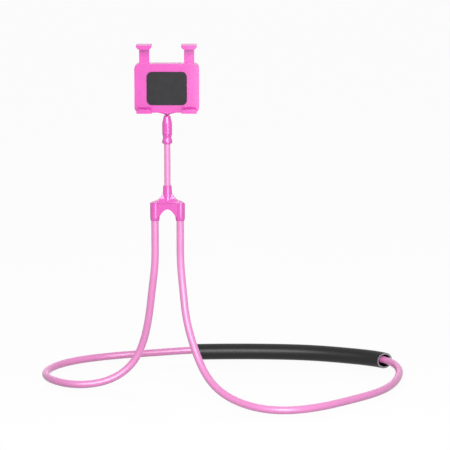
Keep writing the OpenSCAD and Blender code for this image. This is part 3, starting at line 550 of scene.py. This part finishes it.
ROUTE_SHARES = (
    (0.306, 0.457, 0.683, 0.00), (0.296, 0.482, 0.429, 0.00), (0.265, 0.502, 0.138, 0.00),
    (0.182, 0.463, 0.000, 0.00), (0.070, 0.424, 0.000, 0.00), (-0.018, 0.616, 0.000, 0.00),
    (0.018, 0.818, 0.000, 0.00), (0.095, 0.936, 0.000, 0.00), (0.206, 1.016, 0.000, 0.00),
    (0.320, 0.974, 0.000, 0.73), (0.420, 0.993, 0.000, 1.00), (0.537, 1.002, 0.000, 1.00),
    (0.651, 0.997, 0.000, 1.00), (0.764, 0.976, 0.000, 1.00), (0.866, 0.915, 0.000, 0.95),
    (0.981, 0.834, 0.000, 0.80), (1.011, 0.650, 0.000, 0.50), (0.979, 0.449, 0.000, 0.00),
    (0.925, 0.295, 0.000, 0.00), (0.846, 0.173, 0.000, 0.00), (0.767, 0.053, 0.000, 0.00),
    (0.666, -0.024, 0.000, 0.00), (0.573, 0.045, 0.000, 0.00), (0.488, 0.173, 0.052, 0.00),
    (0.439, 0.273, 0.195, 0.00), (0.400, 0.373, 0.490, 0.00), (0.395, 0.422, 0.641, 0.00),
)
# Where the mast stands in the loop, and the straight ends as a share of the bend's height
MAST_SHARES = (0.3505, 0.4522)
STRAIGHT_SHARE = 0.14
# The sleeve lies between these places of the curve, counted in spans
SLEEVE_SPANS = (12.0, 17.0)


def bend_points(sizes):
    """The points that pull the loop's curve, in the row frame."""
    radius = sizes.jacket / 2
    rise = BEND_Z - radius
    lift = sizes.sleeve / 2 + sizes.sleeve_bore / 2 - sizes.jacket - sizes.seat_gap
    corner = Vector((MAST[0] - MAST_SHARES[0] * sizes.width, MAST[1] - MAST_SHARES[1] * sizes.depth, 0.0))

    def straight_end(side):
        return [
            Vector((
                MAST[0] + side * sizes.leg_pitch / 2, MAST[1],
                BEND_Z + side * step * rise * STRAIGHT_SHARE))
            for step in (-1, 0, 1)
        ]

    inner = [
        corner + Vector((x * sizes.width, y * sizes.depth, radius + z * rise + lifted * lift))
        for x, y, z, lifted in ROUTE_SHARES
    ]
    return straight_end(-1) + inner + straight_end(1)


def curve_point(points, place):
    """Point of the smooth curve at a place counted in spans."""
    i = min(int(place), len(points) - 4)
    u = place - i
    weights = ((1 - u) ** 3, 3 * u ** 3 - 6 * u ** 2 + 4, -3 * u ** 3 + 3 * u ** 2 + 3 * u + 1, u ** 3)
    return sum((w * points[i + k] for k, w in enumerate(weights)), Vector()) / 6


def places_between(start, end, per_span):
    """Even places from start to end, this many to a span."""
    count = round((end - start) * per_span)
    return [start + (end - start) * i / count for i in range(count + 1)]


# Operators, one for each piece or group of like pieces


class HOLDER_OT_materials(bpy.types.Operator):
    """Makes the finishes of the plastic, the jacket, the foam, the rubber and the metals"""

    bl_idname = "holder.materials"
    bl_label = "Finishes"

    def execute(self, context):
        make_materials(context.scene.holder_finishes)
        return {"FINISHED"}


class HOLDER_OT_loop_skin(bpy.types.Operator):
    """Makes the soft jacket of the neck loop and its two legs as one skin"""

    bl_idname = "holder.loop_skin"
    bl_label = "Neck loop jacket"

    def execute(self, context):
        sizes = context.scene.holder_loop
        points = bend_points(sizes)
        # Rings of the skin to a span of the curve, and on each leg
        rings = 10
        path = [curve_point(points, p) for p in places_between(0.0, len(points) - 3.0, rings)]
        leg_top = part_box("leg_jacket_left")[1].z

        def leg(end):
            return [
                Vector((end.x, end.y, end.z + (leg_top - end.z) * i / rings)) for i in range(1, rings + 1)
            ]

        route = list(reversed(leg(path[0]))) + path + leg(path[-1])
        skin = tube_along(
            route, "loop_jacket_skin", sizes.jacket / 2, TUBE_SIDES, True, MATERIALS["jacket"])
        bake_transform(skin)
        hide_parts("loop_jacket", "leg_jacket_left", "leg_jacket_right")
        return {"FINISHED"}


class HOLDER_OT_foam_sleeve(bpy.types.Operator):
    """Makes the foam sleeve that lies over the back of the loop, with its cut ends"""

    bl_idname = "holder.foam_sleeve"
    bl_label = "Foam sleeve"

    slant: bpy.props.FloatProperty(
        name="Slant", description="Slope of the cut at the sleeve's right end", default=0.33)

    def execute(self, context):
        sizes = context.scene.holder_loop
        points = bend_points(sizes)
        # Rings to a span of the curve, and sides
        rings, sides = 16, 48
        path = [curve_point(points, p) for p in places_between(*SLEEVE_SPANS, rings)]
        # It lies on the floor, and the loop runs through the top of its bore
        for point in path:
            point.z = sizes.sleeve / 2
        last, along = path[-1], (path[-1] - path[-2]).normalized()
        sleeve = tube_along(path, "foam_sleeve", sizes.sleeve / 2, sides, False, MATERIALS["foam"])
        # The wall's rim takes the second material: cut foam whose light grey is partly a painted highlight
        # of the lit rim
        sleeve.data.materials.append(MATERIALS["foam_cut"])
        # The right end is cut at a slant, longer on its outer side, and the last stretch gives way to it
        stretch = 14 * MM
        outwards = Vector((along.y, -along.x, 0.0)) * self.slant
        for vertex in sleeve.data.vertices:
            away = vertex.co - last
            share = max(0.0, 1.0 + away.dot(along) / stretch)
            vertex.co -= along * away.dot(outwards) * share
        wall = sleeve.modifiers.new("Wall", "SOLIDIFY")
        wall.thickness = (sizes.sleeve - sizes.sleeve_bore) / 2
        wall.offset = -1.0
        wall.material_offset_rim = 1
        soften(sleeve, "Soft cut edge", 0.45 * MM, 50)
        applied(sleeve, "foam_sleeve")
        shade(sleeve.data, 45)
        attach(sleeve, "neck_loop")
        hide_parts("neck_sleeve")
        return {"FINISHED"}


class HOLDER_OT_arm_skins(bpy.types.Operator):
    """Makes the arm's soft jacket as two skins that meet on its middle stretch"""

    bl_idname = "holder.arm_skins"
    bl_label = "Arm jacket"

    def execute(self, context):
        sizes = context.scene.holder_loop
        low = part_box("arm_jacket_lower")[0].z
        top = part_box("arm_jacket_upper")[1].z
        lower_bend = (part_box("arm_jacket_lower")[1].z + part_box("arm_jacket_middle")[0].z) / 2
        upper_bend = (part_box("arm_jacket_middle")[1].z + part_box("arm_jacket_upper")[0].z) / 2
        meet = (lower_bend + upper_bend) / 2
        # Rings of each skin
        rings = 40

        def stretch(name, start, end, a, b, bend, nodes):
            points = [
                Vector((MAST[0], MAST[1], start + (end - start) * i / rings)) for i in range(rings + 1)
            ]
            skin = tube_along(points, name, sizes.arm_jacket / 2, TUBE_SIDES, True, MATERIALS["jacket"])
            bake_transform(skin)
            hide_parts(*nodes)

        stretch(
            "arm_jacket_skin_lower", low, meet, "mast", "arm_middle", lower_bend,
            ("arm_jacket_lower", "arm_jacket_middle"))
        stretch(
            "arm_jacket_skin_upper", meet, top, "arm_middle", "arm_top", upper_bend,
            ("arm_jacket_upper",))
        return {"FINISHED"}


class HOLDER_OT_yoke(bpy.types.Operator):
    """Rounds the edges of the yoke's two halves"""

    bl_idname = "holder.yoke"
    bl_label = "Yoke"

    def execute(self, context):
        edge = context.scene.holder_edges.moulded
        for node in ("yoke_front", "yoke_rear"):
            piece = rounded_copy(node, node + "_moulding", edge, MATERIALS["abs"])
            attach(piece, "mast")
        return {"FINISHED"}


class HOLDER_OT_ball_joint(bpy.types.Operator):
    """Rounds the edges of the collar, the lock nut and the ball stud"""

    bl_idname = "holder.ball_joint"
    bl_label = "Ball joint"

    def execute(self, context):
        fine_edge = context.scene.holder_edges.moulded * 0.6
        for node, body in (("ball_collar", "arm_top"), ("lock_nut", "lock_nut"), ("ball_stud", "clamp")):
            piece = rounded_copy(node, node + "_moulding", fine_edge, MATERIALS["abs"], sharp=24)
            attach(piece, body)
        dressed_node("ball_seat", MATERIALS["nylon"])
        return {"FINISHED"}


class HOLDER_OT_clamp(bpy.types.Operator):
    """Rounds the edges of the clamp's shell, its cover with the lower claws and the sliding jaw"""

    bl_idname = "holder.clamp"
    bl_label = "Phone clamp"

    def execute(self, context):
        edges = context.scene.holder_edges
        wide_edge = edges.moulded * 1.6
        for node, body, edge in (
                ("clamp_rear_shell", "clamp", wide_edge),
                ("clamp_front_cover", "clamp", edges.claw),
                ("upper_jaw", "upper_jaw", edges.claw)):
            piece = rounded_copy(node, node + "_moulding", edge, MATERIALS["abs"], segments=3)
            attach(piece, body)
        return {"FINISHED"}


class HOLDER_OT_pads(bpy.types.Operator):
    """Rounds the edges of the grip pad and of the pads on the claws"""

    bl_idname = "holder.pads"
    bl_label = "Rubber pads"

    def execute(self, context):
        edge = context.scene.holder_edges.pad
        for node, body in (
                ("grip_pad", "clamp"), ("lower_claw_pads", "clamp"), ("upper_claw_pads", "upper_jaw")):
            piece = rounded_copy(node, node + "_rubber", edge, MATERIALS["rubber"])
            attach(piece, body)
        return {"FINISHED"}


class HOLDER_OT_metal(bpy.types.Operator):
    """Dresses the bend wires and the crimps in their metals"""

    bl_idname = "holder.metal"
    bl_label = "Wires and crimps"

    def execute(self, context):
        for node in (
                "loop_wire", "leg_wire_left", "leg_wire_right", "arm_wire_lower", "arm_wire_middle",
                "arm_wire_upper"):
            dressed_node(node, MATERIALS["wire"])
        for node in ("leg_crimps", "arm_crimp_lower", "arm_crimp_upper"):
            dressed_node(node, MATERIALS["zinc"])
        return {"FINISHED"}


class HOLDER_OT_screws(bpy.types.Operator):
    """Makes the two screws of the yoke and the four screws of the clamp, driven in from the back"""

    bl_idname = "holder.screws"
    bl_label = "Screws"

    yoke_head: bpy.props.FloatProperty(
        name="Yoke screw head", description="Radius of a yoke screw's head", default=0.0022, unit="LENGTH")
    clamp_head: bpy.props.FloatProperty(
        name="Clamp screw head", description="Radius of a clamp screw's head", default=0.0020,
        unit="LENGTH")
    head_height: bpy.props.FloatProperty(
        name="Head height", description="Height of a screw's head", default=0.0016, unit="LENGTH")
    thread: bpy.props.FloatProperty(
        name="Thread radius", description="Radius of a screw's thread", default=0.0011, unit="LENGTH")

    def execute(self, context):
        edge = context.scene.holder_edges.metal
        for node, body, head in (
                ("yoke_screws", "mast", self.yoke_head), ("cover_screws", "clamp", self.clamp_head)):
            low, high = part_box(node)
            # Rounded, so that screws in a single row give one level and not two
            levels = {round(z, 5) for z in (low.z + head, high.z - head)}
            heads = [(x, high.y, z) for x in (low.x + head, high.x - head) for z in sorted(levels)]
            sizes = {
                "Head Radius": head, "Head Height": self.head_height,
                "Thread Radius": self.thread, "Length": high.y - low.y,
            }
            piece = screws_at(heads, node + "_plated", sizes, edge, MATERIALS["zinc"])
            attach(piece, body)
            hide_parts(node)
        return {"FINISHED"}


class HOLDER_OT_springs(bpy.types.Operator):
    """Winds the two jaw springs, which stretch between the shell and the sliding jaw"""

    bl_idname = "holder.springs"
    bl_label = "Jaw springs"

    wire: bpy.props.FloatProperty(
        name="Wire diameter", description="Diameter of the spring wire", default=0.0006, unit="LENGTH")
    curls: bpy.props.IntProperty(name="Curls", description="Number of curls of a spring", default=14, min=4)
    per_curl: bpy.props.IntProperty(
        name="Points per curl", description="Points on one curl", default=20, min=8)

    def execute(self, context):
        for node in ("jaw_spring_left", "jaw_spring_right"):
            low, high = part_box(node)
            centre = (low + high) / 2
            radius = (high.y - low.y - self.wire) / 2
            # Each end loop: its radius, how many degrees it turns and in how many steps, and the gap
            # between it and the curls
            eye, sweep, steps = 0.00155, 290, 20
            gap = 1.5 * self.wire
            anchor = low.z + eye + self.wire / 2
            hook = high.z - eye - self.wire / 2
            first = anchor + eye + gap
            last = hook - eye - gap

            def eye_points(z, sign):
                turns = [math.radians(90 + sweep * i / steps) for i in range(steps + 1)]
                return [
                    Vector((centre.x + eye * math.cos(t) * sign, centre.y, z + eye * math.sin(t) * sign))
                    for t in turns
                ]

            count = self.curls * self.per_curl
            coil = [
                Vector((
                    centre.x + radius * math.sin(math.tau * i / self.per_curl),
                    centre.y + radius * math.cos(math.tau * i / self.per_curl),
                    first + (last - first) * i / count))
                for i in range(count + 1)
            ]
            path = eye_points(anchor, 1) + coil + list(reversed(eye_points(hook, -1)))
            sides = 8
            spring = tube_along(path, node + "_coil", self.wire / 2, sides, True, MATERIALS["spring"])
            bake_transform(spring)
            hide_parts(node)
        return {"FINISHED"}


class HOLDER_OT_stage(bpy.types.Operator):
    """Sets up the floor, the lamps, the room light and the camera"""

    bl_idname = "holder.stage"
    bl_label = "Studio"

    def execute(self, context):
        studio = context.scene.holder_studio
        scene = context.scene
        scene.view_settings.view_transform = "Standard"
        self.floor()
        self.room(scene, studio)
        self.lamps(scene, studio)
        self.camera(scene, studio)
        return {"FINISHED"}

    def seen(self, tree):
        """1 for the rays that show the background: to the camera, in a gloss and through glass."""
        rays = add_node(tree, "ShaderNodeLightPath").outputs
        share = rays["Is Camera Ray"]
        for kind in ("Is Glossy Ray", "Is Transmission Ray"):
            share = add_node(
                tree, "ShaderNodeMath", {0: share, 1: rays[kind]}, operation="MAXIMUM").outputs[0]
        return share

    def floor(self):
        # It reaches far past the picture on each side, and lies a hair lower than the tubes' undersides
        reach, level = 12.0, -0.02 * MM
        mesh = bpy.data.meshes.new("studio_floor")
        corners = [(-reach, -reach), (reach, -reach), (reach, reach), (-reach, reach)]
        mesh.from_pydata([(x, y, level) for x, y in corners], [], [(0, 1, 2, 3)])
        # Matt white paper, shown bright to the camera and in reflections, and still taking the shadow
        material, tree = new_material("matt_white_paper")
        seen = self.seen(tree)
        glow_share = 0.93
        share = add_node(
            tree, "ShaderNodeMath", {0: seen}, {1: glow_share}, operation="MULTIPLY").outputs[0]
        # The paper throws less light back on the object than it shows, so that the tubes keep their
        # dark undersides
        tone = add_node(
            tree, "ShaderNodeMix", {"Factor": seen}, {6: linear("#909090"), 7: linear("#F7F7F7")},
            data_type="RGBA")
        paper = add_node(tree, "ShaderNodeBsdfDiffuse", {"Color": tone.outputs[2]})
        glow = add_node(tree, "ShaderNodeEmission", inputs={"Color": linear("#FFFFFF"), "Strength": 1.0})
        mixed = add_node(
            tree, "ShaderNodeMixShader",
            {0: share, 1: paper.outputs["BSDF"], 2: glow.outputs["Emission"]})
        add_node(tree, "ShaderNodeOutputMaterial", {"Surface": mixed.outputs["Shader"]})
        show(mesh, "studio_floor", material)

    def room(self, scene, studio):
        world = bpy.data.worlds.new("studio_room")
        scene.world = world
        world.use_nodes = True
        tree = world.node_tree
        tree.nodes.clear()
        # The light from all round is soft and comes mostly from above, as under a studio's ceiling
        towards = add_node(tree, "ShaderNodeTexCoord").outputs["Generated"]
        height = add_node(tree, "ShaderNodeSeparateXYZ", {"Vector": towards}).outputs["Z"]
        ceiling = add_node(
            tree, "ShaderNodeMapRange", {"Value": height},
            {"From Min": 0.1, "From Max": 1.0, "To Min": 0.12, "To Max": studio.room}).outputs["Result"]
        strength = add_node(
            tree, "ShaderNodeMapRange", {"Value": self.seen(tree), "To Min": ceiling},
            {"To Max": 1.0}).outputs["Result"]
        light = add_node(
            tree, "ShaderNodeBackground", {"Strength": strength}, {"Color": linear("#FFFFFF")})
        add_node(tree, "ShaderNodeOutputWorld", {"Surface": light.outputs["Background"]})

    def lamps(self, scene, studio):
        # Each soft box: power, width and height, then its azimuth, distance and height above the floor,
        # and its tilt
        for name, power, width, height, azimuth, distance, level, tilt in (
                ("key_soft_box", studio.key, 0.52, 0.95, 18, 0.90, 0.48, 0),
                ("front_soft_box", studio.front, 1.10, 0.85, -4, 1.45, 0.90, 28)):
            data = bpy.data.lights.new(name, "AREA")
            data.shape = "RECTANGLE"
            data.size = width
            data.size_y = height
            data.energy = power
            self.place(scene, name, data, azimuth, distance, level, tilt)
        data = bpy.data.lights.new("back_lamp", "SUN")
        data.energy = studio.back
        data.angle = math.radians(30)
        lamp = self.place(scene, "back_lamp", data, azimuth=185, distance=1.5, level=0.7, tilt=14)
        # It lights the back evenly and leaves no glare on the edges that the camera sees
        lamp.visible_glossy = False

    def place(self, scene, name, data, azimuth, distance, level, tilt):
        """Stands a lamp round the mast, its azimuth counted from the front to the right."""
        lamp = bpy.data.objects.new(name, data)
        scene.collection.objects.link(lamp)
        a, t = math.radians(azimuth), math.radians(tilt)
        lamp.location = (MAST[0] + math.sin(a) * distance, MAST[1] - math.cos(a) * distance, level)
        face = Vector((math.sin(a) * math.cos(t), -math.cos(a) * math.cos(t), math.sin(t)))
        lamp.rotation_euler = face.to_track_quat("Z", "Y").to_euler()
        lamp.visible_camera = False
        return lamp

    def camera(self, scene, studio):
        data = bpy.data.cameras.new("photo_camera")
        data.sensor_width = 36.0
        data.lens = data.sensor_width * studio.distance / studio.frame_width
        data.clip_end = 100.0
        camera = bpy.data.objects.new("photo_camera", data)
        scene.collection.objects.link(camera)
        e = studio.elevation
        towards = Vector((0.0, -math.cos(e), math.sin(e)))
        # Middle of the photo's frame: to the right of the mast and above the floor
        aside, level = 0.0683, 0.2004
        target = Vector((MAST[0] + aside, MAST[1], level))
        camera.location = target + towards * studio.distance
        camera.rotation_euler = towards.to_track_quat("Z", "Y").to_euler()
        scene.camera = camera


class HOLDER_PT_panel(bpy.types.Panel):
    """Lists the pieces of the phone holder with their sizes and colours"""

    bl_idname = "HOLDER_PT_panel"
    bl_label = "Phone holder"
    bl_space_type = "VIEW_3D"
    bl_region_type = "UI"
    bl_category = "Phone holder"

    def draw(self, context):
        for group in ("holder_loop", "holder_edges", "holder_finishes", "holder_studio"):
            box = self.layout.box()
            settings = getattr(context.scene, group)
            for name in settings.__annotations__:
                box.prop(settings, name)
        for operator in OPERATORS:
            self.layout.operator(operator.bl_idname)


GROUPS = {
    "holder_loop": LoopSizes,
    "holder_edges": EdgeSizes,
    "holder_finishes": Finishes,
    "holder_studio": StudioSettings,
}
OPERATORS = (
    HOLDER_OT_materials,
    HOLDER_OT_stage,
    HOLDER_OT_loop_skin,
    HOLDER_OT_foam_sleeve,
    HOLDER_OT_arm_skins,
    HOLDER_OT_yoke,
    HOLDER_OT_ball_joint,
    HOLDER_OT_clamp,
    HOLDER_OT_pads,
    HOLDER_OT_metal,
    HOLDER_OT_screws,
    HOLDER_OT_springs,
)


def register():
    for name, group in GROUPS.items():
        bpy.utils.register_class(group)
        setattr(bpy.types.Scene, name, bpy.props.PointerProperty(type=group))
    for operator in OPERATORS:
        bpy.utils.register_class(operator)
    bpy.utils.register_class(HOLDER_PT_panel)


def unregister():
    bpy.utils.unregister_class(HOLDER_PT_panel)
    for operator in reversed(OPERATORS):
        bpy.utils.unregister_class(operator)
    for name, group in GROUPS.items():
        delattr(bpy.types.Scene, name)
        bpy.utils.unregister_class(group)


def main():
    register()
    for operator in OPERATORS:
        group, name = operator.bl_idname.split(".")
        getattr(getattr(bpy.ops, group), name)()


if __name__ == "__main__":
    main()
